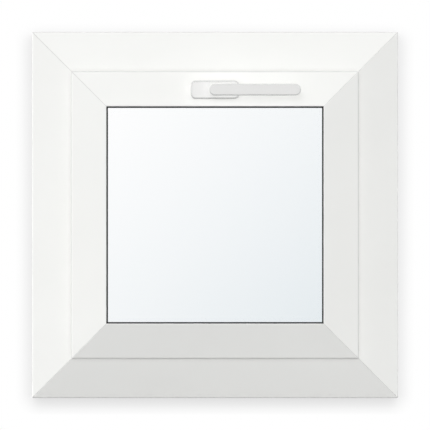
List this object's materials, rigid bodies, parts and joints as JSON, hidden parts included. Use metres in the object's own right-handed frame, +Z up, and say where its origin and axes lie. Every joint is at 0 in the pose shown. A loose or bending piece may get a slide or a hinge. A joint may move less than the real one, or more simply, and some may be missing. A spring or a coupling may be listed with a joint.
{
  "type": "bottom-hung hopper window",
  "caption": "Square white plastic hopper window that tilts into the room on hinges under its sash, with sealed double glazing, side stays and a lever handle.",
  "frame": {"origin": "middle of the outer frame's underside, halfway through its depth", "axes": "+Z up, -Y towards the room (hinge, handle and stays), +Y towards the outside, +X to the right seen from the room"},
  "size_m": [0.6, 0.1322, 0.6],
  "materials": {
    "frame_plastic": "smooth white, satin",
    "sash_plastic": "smooth white, satin",
    "bead_plastic": "smooth white, satin",
    "seal_rubber": "matt black",
    "clear_glass": "clear, polished",
    "spacer_metal": "mill finish with fine holes",
    "packer_plastic": "matt",
    "hardware_steel": "zinc plated",
    "handle_enamel": "white powder coat, satin",
    "drain_plastic": "satin white"
  },
  "bodies": {
    "frame": {"frame_head": "frame_plastic", "frame_sill": "frame_plastic", "frame_jamb_left": "frame_plastic", "frame_jamb_right": "frame_plastic", "frame_seal": "seal_rubber", "lock_keep_left": "hardware_steel", "lock_keep_right": "hardware_steel", "hinge_base_left": "hardware_steel", "hinge_base_right": "hardware_steel", "hinge_pin_left": "hardware_steel", "hinge_pin_right": "hardware_steel", "stay_bracket_left": "hardware_steel", "stay_bracket_right": "hardware_steel", "drain_cover_left": "drain_plastic", "drain_cover_right": "drain_plastic"},
    "sash": {"sash_top_rail": "sash_plastic", "sash_bottom_rail": "sash_plastic", "sash_stile_left": "sash_plastic", "sash_stile_right": "sash_plastic", "sash_seal": "seal_rubber", "glazing_bead_top": "bead_plastic", "glazing_bead_bottom": "bead_plastic", "glazing_bead_left": "bead_plastic", "glazing_bead_right": "bead_plastic", "glazing_gasket_room": "seal_rubber", "glazing_gasket_outer": "seal_rubber", "glass_room_pane": "clear_glass", "glass_outer_pane": "clear_glass", "glass_spacer": "spacer_metal", "glazing_packers": "packer_plastic", "lock_rail": "hardware_steel", "lock_cam_left": "hardware_steel", "lock_cam_right": "hardware_steel", "hinge_leaf_left": "hardware_steel", "hinge_leaf_right": "hardware_steel", "stay_track_left": "hardware_steel", "stay_track_right": "hardware_steel", "handle_rose": "handle_enamel"},
    "handle": {"handle_lever": "handle_enamel", "handle_spindle": "hardware_steel"},
    "stay_left": {"stay_arm_left": "hardware_steel"},
    "stay_right": {"stay_arm_right": "hardware_steel"}
  },
  "joints": [
    {"name": "sash_tilt", "type": "hinge", "parent": "frame", "child": "sash", "pos_m": [0, -0.036, 0.07], "axis": [1, 0, 0], "range_deg": [0, 20]},
    {"name": "handle_turn", "type": "hinge", "parent": "sash", "child": "handle", "pos_m": [0, -0.04871, 0.50525], "axis": [0, 1, 0], "range_deg": [0, 90]},
    {"name": "stay_left_swing", "type": "hinge", "parent": "frame", "child": "stay_left", "pos_m": [-0.2238, -0.025, 0.2196], "axis": [1, 0, 0], "range_deg": [0, 40]},
    {"name": "stay_right_swing", "type": "hinge", "parent": "frame", "child": "stay_right", "pos_m": [0.2238, -0.025, 0.2196], "axis": [1, 0, 0], "range_deg": [0, 40]}
  ],
  "couplings": [
    {"joint": "stay_left_swing", "follows": "sash_tilt", "ratio": 2},
    {"joint": "stay_right_swing", "follows": "sash_tilt", "ratio": 2}
  ]
}
